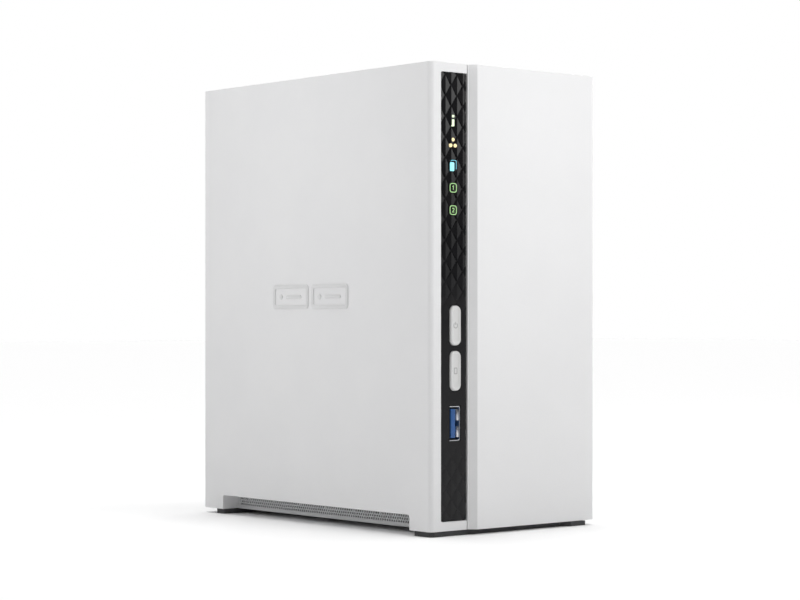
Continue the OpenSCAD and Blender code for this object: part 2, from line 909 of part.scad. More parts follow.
// Three wires from the fan's frame, bent down into a plug on the main board.
module fan_lead() {
    bend_r = 4;
    lead_x = -29.5;
    high = fan_z - fan_size / 2 + 3;
    plug_top = 85.5;
    wire_y = fan_front - 3 - bend_r;
    path = concat(
        [[fan_front, high, 180]],
        [for (a = [0 : 15 : 90])
            [wire_y + bend_r - bend_r * sin(a), high - bend_r + bend_r * cos(a), 180 + a]],
        [[wire_y, plug_top, 270]]
    );
    color("#222226") {
        for (dx = [-1.4, 0, 1.4]) wire(lead_x + dx, path, 0.6);
        box([board_face, wire_y - 2, plug_top - 7], [lead_x + 2.5, wire_y + 2, plug_top]);
    }
}

// ------------------------------------------------------------ drive cage

// Sheet side with windows, screw holes and, on the left, the backplane's slot.
module cage_side(slot_front = 0, slot_back = 0) {
    difference() {
        rounded([cage_front, cage_floor], [cage_back, cage_top], 3);
        for (z = [54, 124]) rounded([drive_y - 36, z], [drive_y + 36, z + 48], 6);
        for (y = [-1, 1], z = drive_hole_z)
            translate([drive_y + y * drive_hole_y, drive_z + z]) circle(drive_hole_r);
        if (slot_back > slot_front)
            translate([slot_front - 1, backplane_z - 0.6])
                square([slot_back - slot_front + 2, backplane_t + 1.2]);
    }
}

module drive_cage() {
    dimple_r = 3.6;
    color("#aeb2b5") difference() {
        union() {
            sideways(cage_left, cage_left + sheet_t) {
                cage_side(edge_front, edge_back);
                for (p = post_points) rounded([p.x - 7, cage_top - 5], [p.x + 7, p.y + 4], 2);
            }
            sideways(cage_right - sheet_t, cage_right) cage_side();
            // Floor with air slots, and two straps across the top
            level(cage_floor, cage_floor + sheet_t) difference() {
                rounded([cage_left, cage_front], [cage_right, cage_back], 1);
                for (y = [-63, 27])
                    rounded([cage_left + 4, y], [cage_right - 4, y + 5], 2);
            }
            for (y = [cage_front + 3, cage_back - 15])
                level(cage_top - sheet_t, cage_top)
                    translate([cage_left, y]) square([cage_right - cage_left, 12]);
            // Dimples that carry the drives
            for (dy = [-1, 1], z = drive_hole_z) {
                rod_x(cage_left + eps, drive_x[0], drive_y + dy * drive_hole_y, drive_z + z,
                    dimple_r);
                rod_x(drive_x[1], cage_right - eps, drive_y + dy * drive_hole_y, drive_z + z,
                    dimple_r);
            }
            // Supports for the backplane
            for (x = [-14, 33], y = [-47, 12])
                rod_z(cage_floor + eps, backplane_z, x, y, 2.2);
            // Tabs that stand on the base's bosses
            for (p = tab_points) {
                inward = p.y < 0 ? 1 : -1;
                level(tab_z, tab_z + sheet_t) pad(p, [tab_w, tab_w], 1);
                box([p.x - tab_w / 2, p.y + inward * tab_w / 2 - 0.5, tab_z + eps],
                    [p.x + tab_w / 2, p.y + inward * tab_w / 2 + 0.5, cage_floor + eps]);
            }
        }
        for (p = tab_points) rod_z(0, tab_z + 2, p.x, p.y, screw_hole_r);
        for (p = post_points) rod_x(cage_left - 1, 0, p.x, p.y, screw_hole_r);
        for (dy = [-1, 1], z = drive_hole_z)
            rod_x(-far, far, drive_y + dy * drive_hole_y, drive_z + z, drive_hole_r);
    }
}

module cage_screws() {
    color("#b8bcc2") {
        for (p = post_points) screw_facing_right(cage_left + sheet_t, p.x, p.y, 8);
        for (p = tab_points) translate([p.x, p.y, tab_z + sheet_t]) screw(5.5);
    }
}

module drive_screws() {
    color("#c4c7cb") for (dy = [-1, 1], z = drive_hole_z) {
        translate([cage_left, drive_y + dy * drive_hole_y, drive_z + z]) rotate([0, -90, 0])
            screw(5, drive_screw_r, drive_head_t);
        translate([cage_right, drive_y + dy * drive_hole_y, drive_z + z]) rotate([0, 90, 0])
            screw(5, drive_screw_r, drive_head_t);
    }
}

// ------------------------------------------------------------ backplane

module backplane_board() {
    color("#1d4f38") level(backplane_z, backplane_z + backplane_t) {
        rounded([cage_left + sheet_t + 1, backplane_front],
            [backplane_right, backplane_back], 1);
        translate([edge_x, edge_front])
            square([cage_left - edge_x + 5, edge_back - edge_front]);
    }
}

module backplane_socket() {
    middle = backplane_z + backplane_t / 2;
    color("#e6e2d4") difference() {
        box([board_face, edge_front - 3, middle - 4], [-28.5, edge_back + 3, middle + 4]);
        box([edge_x - 0.5, edge_front - 0.2, backplane_z - 0.1],
            [0, edge_back + 0.2, backplane_z + backplane_t + 0.1]);
    }
}

module drive_sockets() {
    foot = backplane_z + backplane_t - drive_z;
    color("#1e1e20") for (bay = [1, 2]) in_bay(bay) {
        box([socket_x - socket_w / 2, socket_y - socket_l / 2, foot],
            [socket_x + socket_w / 2, socket_y + socket_l / 2, -0.2]);
        box([socket_x - 0.6, socket_y - socket_l / 2 + 2, foot],
            [socket_x + 0.6, socket_y + socket_l / 2 - 2, 3]);
    }
}

// ------------------------------------------------------------ hard drives

module drive_casting(bay) {
    color("#c2c5c8") in_bay(bay) difference() {
        union() {
            sideways(rail_depth, drive_t - lid_t)
                rounded([-drive_w / 2, 0], [drive_w / 2, drive_l], 3);
            for (side = [-1, 1])
                box([0, side < 0 ? -drive_w / 2 : rail_y, 3],
                    [rail_depth + eps, side < 0 ? -rail_y : drive_w / 2, drive_l - 3]);
        }
        difference() {
            union() {
                rod_x(cavity_x, drive_t, 0, spindle_z, platter_r + 1);
                box([cavity_x, -rail_y, 7], [drive_t, rail_y, spindle_z - 30]);
            }
            rod_x(0, drive_t - 6, 0, spindle_z, spindle_r);
            rod_x(0, drive_t - 4, pivot_y, pivot_z, pivot_r);
        }
        box([-1, socket_y - socket_l / 2 - 1, -1],
            [socket_x + socket_w / 2 + 0.5, socket_y + socket_l / 2 + 1, 6]);
        for (dy = [-1, 1], z = drive_hole_z)
            rod_x(-1, 3.2, dy * drive_hole_y, z, drive_hole_r);
    }
}

module drive_lid(bay) {
    color("#d3d5d7") in_bay(bay) sideways(drive_t - lid_t, drive_t)
        rounded([-drive_w / 2 + 0.5, 0.5], [drive_w / 2 - 0.5, drive_l - 0.5], 3);
}

// Circuit board on the drive's underside, with the connector at its end.
module drive_board(bay) {
    color("#1b4a6b") in_bay(bay) {
        sideways(rail_depth - 1.6, rail_depth) polygon([
            [-43, 2], [43, 2], [43, 62], [20, 98], [-30, 98], [-43, 80]
        ]);
        difference() {
            box([rail_depth - eps, socket_y - socket_l / 2, 0.3],
                [socket_x + socket_w / 2, socket_y + socket_l / 2, 5.5]);
            box([socket_x - 0.8, socket_y - socket_l / 2 + 1.8, 0],
                [socket_x + 0.8, socket_y + socket_l / 2 - 1.8, 4]);
        }
    }
}

module drive_platters(bay) {
    hub_x = 8;
    color("#dfe2e4") in_bay(bay) difference() {
        union() {
            for (x = platters_x) rod_x(x, x + platter_t, 0, spindle_z, platter_r);
            rod_x(hub_x, drive_t - 4.6, 0, spindle_z, 12.5);
        }
        rod_x(hub_x - 1, drive_t - 5.8, 0, spindle_z, spindle_r + run_gap);
    }
}

module drive_arm(bay) {
    color("#a9adb0") in_bay(bay) difference() {
        union() {
            rod_x(6, drive_t - 2.6, pivot_y, pivot_z, 7);
            for (x = arm_blades_x)
                sideways(x, x + arm_t) translate([pivot_y, pivot_z]) rotate(arm_rest)
                    polygon([[3, -6], [arm_l, -1.5], [arm_l, 1.5], [3, 6]]);
            sideways(12, 15) translate([pivot_y, pivot_z]) rotate(arm_rest)
                polygon([[-3, -5], [-19, -10], [-22, 0], [-19, 10], [-3, 5]]);
        }
        rod_x(5, drive_t - 3.8, pivot_y, pivot_z, pivot_r + run_gap);
    }
}

module drive_1_casting() {
    drive_casting(1);
}
module drive_1_lid() {
    drive_lid(1);
}
module drive_1_board() {
    drive_board(1);
}
module drive_1_platters() {
    drive_platters(1);
}
module drive_1_arm() {
    drive_arm(1);
}
module drive_2_casting() {
    drive_casting(2);
}
module drive_2_lid() {
    drive_lid(2);
}
module drive_2_board() {
    drive_board(2);
}
module drive_2_platters() {
    drive_platters(2);
}
module drive_2_arm() {
    drive_arm(2);
}

left_shell();
cover_shell();
indicator_bezel();
status_window();
network_window();
copy_window();
disk_1_window();
disk_2_window();
power_button();
copy_button();
front_switches();
front_lamps();
front_board();
front_usb_shell();
front_usb_tongue();
front_usb_contacts();
ribbon_cable();
main_board();
processor();
heatsink();
memory_chips();
capacitors();
coin_cell();
board_screws();
ethernet_jack();
ethernet_contacts();
rear_usb_shells();
rear_usb_tongues();
power_inlet();
power_inlet_pin();
reset_switch();
reset_button();
rear_panel();
rear_panel_screws();
cover_screws();
fan_frame();
fan_rotor();
fan_motor();
fan_screws();
fan_lead();
drive_cage();
cage_screws();
drive_screws();
backplane_board();
backplane_socket();
drive_sockets();
drive_1_casting();
drive_1_lid();
drive_1_board();
drive_1_platters();
drive_1_arm();
drive_2_casting();
drive_2_lid();
drive_2_board();
drive_2_platters();
drive_2_arm();
left_vent();
right_vent();
front_foot();
rear_foot();
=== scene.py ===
"""Looks of a two-bay desktop network storage unit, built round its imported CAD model."""
import math
import random

import bmesh
import bpy
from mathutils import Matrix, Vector
from mathutils.geometry import tessellate_polygon


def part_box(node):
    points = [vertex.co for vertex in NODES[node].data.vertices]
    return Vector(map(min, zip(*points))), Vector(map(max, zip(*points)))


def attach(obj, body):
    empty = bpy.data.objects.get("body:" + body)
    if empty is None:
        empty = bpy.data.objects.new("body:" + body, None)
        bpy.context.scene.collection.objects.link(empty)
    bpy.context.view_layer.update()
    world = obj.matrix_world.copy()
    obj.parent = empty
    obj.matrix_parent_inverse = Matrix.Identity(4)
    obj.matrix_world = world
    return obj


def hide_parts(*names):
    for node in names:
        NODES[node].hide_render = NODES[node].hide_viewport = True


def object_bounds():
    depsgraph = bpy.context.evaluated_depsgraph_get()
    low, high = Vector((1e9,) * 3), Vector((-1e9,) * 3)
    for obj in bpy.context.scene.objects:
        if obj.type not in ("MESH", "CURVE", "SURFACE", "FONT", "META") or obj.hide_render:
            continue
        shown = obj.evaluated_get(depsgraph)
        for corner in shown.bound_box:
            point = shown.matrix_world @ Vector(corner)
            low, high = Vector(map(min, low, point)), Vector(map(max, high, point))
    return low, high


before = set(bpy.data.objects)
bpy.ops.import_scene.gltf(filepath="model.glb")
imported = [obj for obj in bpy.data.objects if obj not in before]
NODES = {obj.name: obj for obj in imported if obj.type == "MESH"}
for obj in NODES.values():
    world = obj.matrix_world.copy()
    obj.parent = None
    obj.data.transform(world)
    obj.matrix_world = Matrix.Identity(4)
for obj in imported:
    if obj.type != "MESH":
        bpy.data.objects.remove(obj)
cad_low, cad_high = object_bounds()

MM = 0.001
EDGE_ANGLE = math.radians(35)   # sharper edges than this are rounded


# ------------------------------------------------------------------ materials

class Graph:
    """A material's nodes, made by short calls."""

    def __init__(self, name):
        self.material = bpy.data.materials.new(name)
        self.material.use_nodes = True
        self.tree = self.material.node_tree
        self.shader = self.tree.nodes["Principled BSDF"]
        coords = self.tree.nodes.new("ShaderNodeTexCoord")
        self.place = coords.outputs["Object"]

    def link(self, out, socket):
        self.tree.links.new(out, socket)

    def put(self, socket, value):
        if isinstance(value, bpy.types.NodeSocket):
            self.link(value, socket)
        else:
            socket.default_value = value

    def math(self, kind, a, b):
        node = self.tree.nodes.new("ShaderNodeMath")
        node.operation = kind
        self.put(node.inputs[0], a)
        self.put(node.inputs[1], b)
        return node.outputs[0]

    def stretch(self, scale):
        """The place, stretched by a different amount along each axis."""
        node = self.tree.nodes.new("ShaderNodeVectorMath")
        node.operation = "MULTIPLY"
        self.link(self.place, node.inputs[0])
        node.inputs[1].default_value = scale
        return node.outputs[0]

    def noise(self, size_mm, detail=3.0, rough=0.5, along=(1, 1, 1)):
        """Noise whose blobs are size_mm across, from 0 to 1."""
        node = self.tree.nodes.new("ShaderNodeTexNoise")
        self.link(self.stretch([1 / (size_mm * MM * a) for a in along]), node.inputs["Vector"])
        node.inputs["Scale"].default_value = 1.0
        node.inputs["Detail"].default_value = detail
        node.inputs["Roughness"].default_value = rough
        return node.outputs["Fac"]

    def cells(self, size_mm, distance="EUCLIDEAN"):
        """The distance from the middle of the nearest cell, with cells size_mm apart."""
        node = self.tree.nodes.new("ShaderNodeTexVoronoi")
        node.distance = distance
        self.link(self.stretch([1 / (size_mm * MM)] * 3), node.inputs["Vector"])
        node.inputs["Scale"].default_value = 1.0
        return node.outputs["Distance"]

    def ramp(self, value, low, high, out_low=0.0, out_high=1.0):
        node = self.tree.nodes.new("ShaderNodeMapRange")
        node.interpolation_type = "SMOOTHSTEP"
        for name, v in (("Value", value), ("From Min", low), ("From Max", high),
                        ("To Min", out_low), ("To Max", out_high)):
            self.put(node.inputs[name], v)
        return node.outputs[0]

    def mix(self, factor, a, b):
        node = self.tree.nodes.new("ShaderNodeMix")
        node.data_type = "RGBA"
        self.put(node.inputs[0], factor)
        for socket, colour in ((node.inputs[6], a), (node.inputs[7], b)):
            self.put(socket, colour if isinstance(colour, bpy.types.NodeSocket) else (*colour, 1))
        return node.outputs[2]

    def edges(self, radius_mm):
        """How much of an edge lies within radius_mm, from 0 to 1."""
        bevel = self.tree.nodes.new("ShaderNodeBevel")
        bevel.samples = 4
        bevel.inputs["Radius"].default_value = radius_mm * MM
        flat = self.tree.nodes.new("ShaderNodeNewGeometry")
        node = self.tree.nodes.new("ShaderNodeVectorMath")
        node.operation = "DOT_PRODUCT"
        self.link(bevel.outputs[0], node.inputs[0])
        self.link(flat.outputs["Normal"], node.inputs[1])
        return self.ramp(node.outputs["Value"], 0.995, 0.86)

    def bump(self, height, depth_mm, before=None):
        node = self.tree.nodes.new("ShaderNodeBump")
        node.inputs["Strength"].default_value = 1.0
        node.inputs["Distance"].default_value = depth_mm * MM
        self.link(height, node.inputs["Height"])
        if before is not None:
            self.link(before, node.inputs["Normal"])
        return node.outputs[0]


def finish_of(name, base, other, rough=0.5, spread=0.08, grain=0.3, depth=0.01, blotch=18.0,
              metal=0.0, spec=0.5, coat=0.0, worn=None, wear=0.4, along=(1, 1, 1), glow=None,
              sheen=0.0):
    """A surface with blotches of two colours, a fine grain and edges worn to another colour."""
    g = Graph(name)
    s = g.shader
    patches = g.ramp(g.noise(blotch, 4.0, 0.6), 0.3, 0.7)
    grains = g.noise(grain, 3.0, 0.6, along)
    colour = g.mix(patches, base, other)
    colour = g.mix(g.ramp(grains, 0.35, 0.75, 0.0, 0.35), colour, [c * 0.86 for c in base])
    if worn:
        patchy = g.ramp(g.noise(2.5, 4.0, 0.7), 0.35, 0.7, 0.15, 1.0)
        edge = g.math("MULTIPLY", g.edges(0.35), patchy)
        colour = g.mix(g.math("MULTIPLY", edge, wear), colour, worn)
    g.link(colour, s.inputs["Base Color"])
    s.inputs["Metallic"].default_value = metal
    s.inputs["Specular IOR Level"].default_value = spec
    s.inputs["Coat Weight"].default_value = coat
    s.inputs["Coat Roughness"].default_value = 0.1
    s.inputs["Sheen Weight"].default_value = sheen
    uneven = g.math("ADD", g.math("MULTIPLY", grains, 0.6), g.math("MULTIPLY", patches, 0.4))
    g.link(g.ramp(uneven, 0.2, 0.8, max(rough - spread, 0.02), min(rough + spread, 1.0)),
           s.inputs["Roughness"])
    swell = g.bump(g.noise(blotch * 0.6, 1.0), depth * 0.8)
    g.link(g.bump(grains, depth, swell), s.inputs["Normal"])
    if glow:
        hue, strength = glow
        core = g.ramp(g.noise(1.2, 2.0), 0.2, 0.8, 0.88, 1.0)
        g.link(g.mix(core, [c * 0.8 for c in hue], hue), s.inputs["Emission Color"])
        s.inputs["Emission Strength"].default_value = strength
    return g


FINISHES = {
    "case_white": dict(base=(0.80, 0.80, 0.805), other=(0.782, 0.783, 0.79), rough=0.46,
                       grain=0.22, depth=0.012, blotch=30, spec=0.4, worn=(0.84, 0.84, 0.84)),
    "cover_white": dict(base=(0.815, 0.815, 0.82), other=(0.80, 0.80, 0.805), rough=0.46,
                        grain=0.22, depth=0.012, blotch=34, spec=0.4, worn=(0.86, 0.86, 0.86)),
    "strip_black": dict(base=(0.004, 0.004, 0.005), other=(0.0055, 0.005, 0.006), rough=0.18,
                        spread=0.04, grain=0.4, depth=0.0015, spec=0.22,
                        worn=(0.03, 0.03, 0.033), wear=0.5),
    "window_white_green": dict(base=(0.3, 0.4, 0.25), other=(0.3, 0.38, 0.25), rough=0.3,
                               glow=((0.84, 1.0, 0.70), 0.95)),
    "window_amber": dict(base=(0.4, 0.3, 0.1), other=(0.4, 0.28, 0.1), rough=0.3,
                         glow=((1.0, 0.85, 0.50), 0.95)),
    "window_cyan": dict(base=(0.1, 0.3, 0.4), other=(0.1, 0.28, 0.4), rough=0.3,
                        glow=((0.36, 0.95, 1.0), 0.95)),
    "window_green": dict(base=(0.1, 0.3, 0.1), other=(0.1, 0.28, 0.08), rough=0.3,
                         glow=((0.36, 0.52, 0.24), 0.9)),
    "button_white": dict(base=(0.67, 0.67, 0.665), other=(0.65, 0.65, 0.645), rough=0.3, grain=0.25,
                         depth=0.004, worn=(0.88, 0.88, 0.87)),
    "black_plastic": dict(base=(0.018, 0.018, 0.02), other=(0.026, 0.026, 0.028), rough=0.5,
                          grain=0.3, depth=0.015, worn=(0.08, 0.08, 0.085)),
    "lamp": dict(base=(0.8, 0.78, 0.6), other=(0.85, 0.82, 0.66), rough=0.25, grain=0.2,
                 depth=0.003, coat=0.4),
    "steel_plated": dict(base=(0.58, 0.59, 0.60), other=(0.50, 0.51, 0.53), rough=0.33, metal=1.0,
                         spread=0.12, grain=0.5, depth=0.006, worn=(0.8, 0.8, 0.8),
                         along=(1, 1, 8)),
    "usb_blue": dict(base=(0.010, 0.08, 0.27), other=(0.013, 0.095, 0.31), rough=0.38, grain=0.25,
                     depth=0.006, worn=(0.07, 0.2, 0.5)),
    "gold_contact": dict(base=(0.82, 0.60, 0.25), other=(0.74, 0.52, 0.2), rough=0.22, metal=1.0,
                         grain=0.3, depth=0.002, worn=(0.95, 0.8, 0.5)),
    "cable_cream": dict(base=(0.70, 0.67, 0.56), other=(0.64, 0.61, 0.50), rough=0.5, grain=0.4,
                        depth=0.01, worn=(0.8, 0.78, 0.7)),
    "chip_black": dict(base=(0.022, 0.022, 0.024), other=(0.034, 0.033, 0.034), rough=0.55,
                       grain=0.16, depth=0.008, worn=(0.1, 0.1, 0.1)),
    "aluminium_plain": dict(base=(0.66, 0.665, 0.67), other=(0.58, 0.585, 0.59), rough=0.36,
                            metal=1.0, grain=0.35, depth=0.006, worn=(0.85, 0.85, 0.85),
                            along=(1, 12, 1)),
    "aluminium_cast": dict(base=(0.50, 0.505, 0.515), other=(0.41, 0.415, 0.425), rough=0.48,
                           metal=1.0, grain=0.5, depth=0.03, worn=(0.75, 0.75, 0.76)),
    "aluminium_polished": dict(base=(0.85, 0.85, 0.86), other=(0.82, 0.82, 0.84), rough=0.08,
                               spread=0.03, metal=1.0, grain=0.6, depth=0.0005),
    "capacitor": dict(base=(0.055, 0.06, 0.075), other=(0.075, 0.08, 0.095), rough=0.35,
                      grain=0.4, depth=0.004, coat=0.3, worn=(0.2, 0.2, 0.22)),
    "panel_metal": dict(base=(0.60, 0.605, 0.61), other=(0.58, 0.585, 0.59), rough=0.4, metal=0.9,
                        grain=0.3, depth=0.008, worn=(0.82, 0.82, 0.82), along=(10, 1, 1)),
    "copper_coil": dict(base=(0.60, 0.24, 0.10), other=(0.52, 0.20, 0.08), rough=0.35, metal=1.0,
                        grain=0.4, depth=0.05, along=(6, 1, 1)),
    "socket_cream": dict(base=(0.66, 0.62, 0.50), other=(0.60, 0.56, 0.45), rough=0.45,
                         grain=0.35, depth=0.01, worn=(0.8, 0.78, 0.68)),
    "vent_grey": dict(base=(0.66, 0.665, 0.67), other=(0.62, 0.625, 0.63), rough=0.5, grain=0.25,
                      depth=0.01, worn=(0.75, 0.75, 0.75)),
    "foot_rubber": dict(base=(0.055, 0.055, 0.057), other=(0.07, 0.07, 0.072), rough=0.75,
                        grain=0.2, depth=0.02, spec=0.3, sheen=0.15, worn=(0.13, 0.13, 0.13)),
    "sign_grey": dict(base=(0.36, 0.36, 0.36), other=(0.33, 0.33, 0.33), rough=0.5, grain=0.2,
                      depth=0.004),
    "mark_white": dict(base=(0.70, 0.70, 0.705), other=(0.68, 0.68, 0.685), rough=0.4, grain=0.22,
                       depth=0.008, spec=0.4, worn=(0.85, 0.85, 0.85)),
    "solder": dict(base=(0.68, 0.68, 0.69), other=(0.60, 0.60, 0.62), rough=0.28, metal=1.0,
                   grain=0.3, depth=0.004),
    "ceramic": dict(base=(0.42, 0.33, 0.22), other=(0.36, 0.28, 0.18), rough=0.4, grain=0.2,
                    depth=0.004),
    "dim_cyan": dict(base=(0.05, 0.2, 0.3), other=(0.05, 0.18, 0.28), rough=0.3,
                     glow=((0.12, 0.42, 0.48), 0.9)),
}


def board_finish(name, mask, copper):
    """Solder mask over copper tracks, with bare pads and holes."""
    g = finish_of(name, mask, [c * 0.85 for c in mask], rough=0.3, grain=0.3, depth=0.004,
                  coat=0.5)
    nearest = g.cells(3.1, "MANHATTAN")
    lines = g.math("MULTIPLY", g.ramp(nearest, 0.42, 0.47), g.ramp(nearest, 0.58, 0.53))
    vias = g.ramp(g.cells(5.3), 0.085, 0.07)
    under = g.shader.inputs["Base Color"].links[0].from_socket
    colour = g.mix(g.math("MULTIPLY", lines, 0.6), under, copper)
    g.link(g.mix(vias, colour, (0.62, 0.58, 0.46)), g.shader.inputs["Base Color"])
    g.link(g.bump(lines, 0.03, g.shader.inputs["Normal"].links[0].from_socket),
           g.shader.inputs["Normal"])
    return g


MATERIALS = {slot: finish_of(slot + "_finish", **facts).material
             for slot, facts in FINISHES.items()}
for slot, mask, copper in (("board_green", (0.008, 0.075, 0.035), (0.03, 0.17, 0.075)),
                           ("board_blue", (0.010, 0.045, 0.12), (0.03, 0.11, 0.22))):
    MATERIALS[slot] = board_finish(slot + "_finish", mask, copper).material


# ------------------------------------------------------------------ shapes

def box_mm(node):
    """A CAD node's lowest and highest corner, in millimetres."""
    low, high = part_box(node)
    return [v / MM for v in low], [v / MM for v in high]


def middle(node):
    """The middle of a CAD node's box, in millimetres."""
    low, high = box_mm(node)
    return [(a + b) / 2 for a, b in zip(low, high)]


def front(u, v, w):
    """A drawing on X and Z, with its depth along Y."""
    return (u, w, v)


def side(u, v, w):
    """A drawing on Y and Z, with its depth along X."""
    return (w, u, v)


def above(u, v, w):
    """A drawing on X and Y, with its depth along Z."""
    return (u, v, w)


class Mesh:
    """Points in millimetres and faces, gathered into one piece."""

    def __init__(self):
        self.points, self.faces = [], []

    def add(self, points, faces):
        start = len(self.points)
        self.points += points
        self.faces += [[start + i for i in f] for f in faces]

    def slab(self, flat_points, flat_faces, place, low, high):
        """A drawing given some depth: both faces and the walls round every open edge."""
        n = len(flat_points)
        seen = {}
        for f in flat_faces:
            for a, b in zip(f, f[1:] + f[:1]):
                seen[(a, b)] = seen.get((a, b), 0) + 1
        walls = [[a, b, b + n, a + n] for a, b in seen if (b, a) not in seen]
        self.add([place(u, v, w) for w in (low, high) for u, v in flat_points],
                 [f[::-1] for f in flat_faces] + [[i + n for i in f] for f in flat_faces] + walls)

    def plate(self, loops, place, low, high):
        """A closed outline, less its holes, given some depth."""
        points = [p for loop in loops for p in loop]
        triangles = tessellate_polygon([[Vector((u, v, 0)) for u, v in loop] for loop in loops])
        faces = []
        for t in triangles:
            (ax, ay), (bx, by), (cx, cy) = (points[i] for i in t)
            turn = (bx - ax) * (cy - ay) - (by - ay) * (cx - ax)
            faces.append(list(t) if turn > 0 else list(t)[::-1])
        self.slab(points, faces, place, low, high)

    def loft(self, loops):
        """A skin over closed loops of equally many points, closed at both ends."""
        n = len(loops[0])
        faces = [[k * n + i, k * n + (i + 1) % n, (k + 1) * n + (i + 1) % n, (k + 1) * n + i]
                 for k in range(len(loops) - 1) for i in range(n)]
        faces += [list(range(n))[::-1], [(len(loops) - 1) * n + i for i in range(n)]]
        self.add([p for loop in loops for p in loop], faces)

    def turned(self, profile, place, steps=48):
        """A profile of (radius, along) turned round an axis; place gives a point in space."""
        self.loft([[place(r * math.cos(a), r * math.sin(a), t)
                    for a in (2 * math.pi * i / steps for i in range(steps))]
                   for r, t in profile])

    def block(self, low, high):
        self.plate([[(low[0], low[1]), (high[0], low[1]), (high[0], high[1]), (low[0], high[1])]],
                   above, low[2], high[2])


def rounded(cu, cv, width, height, r, steps=6):
    """The points of a rectangle with rounded corners."""
    points = []
    for k, (su, sv) in enumerate(((1, 1), (-1, 1), (-1, -1), (1, -1))):
        for i in range(steps + 1):
            a = math.radians(90 * k + 90 * i / steps)
            points.append((cu + su * (width / 2 - r) + r * math.cos(a),
                           cv + sv * (height / 2 - r) + r * math.sin(a)))
    return points


def circle(cu, cv, r, steps=32):
    return [(cu + r * math.cos(2 * math.pi * i / steps), cv + r * math.sin(2 * math.pi * i / steps))
            for i in range(steps)]


def stroke(points, width):
    """The outline of a pen line along the points."""
    left, right = [], []
    for i, (u, v) in enumerate(points):
        before, after = points[max(i - 1, 0)], points[min(i + 1, len(points) - 1)]
        a = Vector((u - before[0], v - before[1]))
        b = Vector((after[0] - u, after[1] - v))
        a = a.normalized() if a.length else b.normalized()
        b = b.normalized() if b.length else a
        across = Vector((-(a + b).y, (a + b).x)).normalized()
        reach = width / 2 / max(abs(across.dot(Vector((-a.y, a.x)))), 0.5)
        left.append((u + across.x * reach, v + across.y * reach))
        right.append((u - across.x * reach, v - across.y * reach))
    return left[::-1] + right


def arc(cu, cv, r, start, end, steps=16):
    return [(cu + r * math.cos(math.radians(start + (end - start) * i / steps)),
             cv + r * math.sin(math.radians(start + (end - start) * i / steps)))
            for i in range(steps + 1)]


def make(name, mesh, rounding=0.0, smooth=30):
    """A Blender object of a gathered mesh, with its edges rounded for real."""
    data = bpy.data.meshes.new(name)
    data.from_pydata([[c * MM for c in p] for p in mesh.points], [], mesh.faces)
    bm = bmesh.new()
    bm.from_mesh(data)
    bmesh.ops.remove_doubles(bm, verts=bm.verts, dist=0.0005 * MM)
    bmesh.ops.recalc_face_normals(bm, faces=bm.faces)
    if rounding:
        bmesh.ops.dissolve_limit(bm, angle_limit=math.radians(0.5), verts=bm.verts,
                                 edges=bm.edges)
        edges = [e for e in bm.edges if len(e.link_faces) == 2
                 and e.calc_face_angle(0) > EDGE_ANGLE]
        bmesh.ops.bevel(bm, geom=edges, offset=rounding * MM, segments=2, profile=0.5,
                        affect="EDGES", clamp_overlap=True)
    bm.to_mesh(data)
    bm.free()
    data.shade_smooth()
    data.set_sharp_from_angle(angle=math.radians(smooth))
    obj = bpy.data.objects.new(name, data)
    bpy.context.scene.collection.objects.link(obj)
    return obj


def piece(name, mesh, body, slot, *replaced, look=None, rounding=0.0, smooth=30):
    """A finished piece that rides on a body, and may stand for CAD nodes."""
    obj = mesh if isinstance(mesh, bpy.types.Object) else make(name, mesh, rounding, smooth)
    obj.data.materials.clear()
    obj.data.materials.append(MATERIALS[look or slot])
    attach(obj, body)
    if replaced:
        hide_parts(*replaced)
    return obj


def carve(obj, kind, other):
    """Joins other to obj, cuts it away or keeps what they share, and removes other."""
    cut = obj.modifiers.new("cut", "BOOLEAN")
    cut.operation, cut.object, cut.solver = kind, other, "EXACT"
    bpy.context.view_layer.update()
    shape = obj.evaluated_get(bpy.context.evaluated_depsgraph_get())
    mesh = bpy.data.meshes.new_from_object(shape)
    obj.modifiers.clear()
    obj.data = mesh
    bpy.data.objects.remove(other)


# ------------------------------------------------------------------ CAD nodes that stay

def keep(node):
    """Gives a CAD node the finish of its slot."""
    materials = NODES[node].data.materials
    materials[0] = MATERIALS[materials[0].name.split(".")[0]]


def soften(node, width_mm):
    """Rounds a CAD node's edges by modifiers."""
    obj = NODES[node]
    weld = obj.modifiers.new("weld", "WELD")
    weld.merge_threshold = 0.002 * MM
    flat = obj.modifiers.new("flat", "DECIMATE")
    flat.decimate_type = "DISSOLVE"
    flat.angle_limit = math.radians(1)
    bevel = obj.modifiers.new("bevel", "BEVEL")
    bevel.width = width_mm * MM
    bevel.segments = 2
    bevel.limit_method = "ANGLE"
    bevel.angle_limit = EDGE_ANGLE
    bevel.use_clamp_overlap = True
    bevel.miter_outer = "MITER_ARC"
    normal = obj.modifiers.new("normal", "WEIGHTED_NORMAL")
    normal.keep_sharp = True


for node in NODES:
    keep(node)
for node in ("left_shell", "cover_shell"):
    soften(node, 0.5)


# ------------------------------------------------------------------ indicator strip

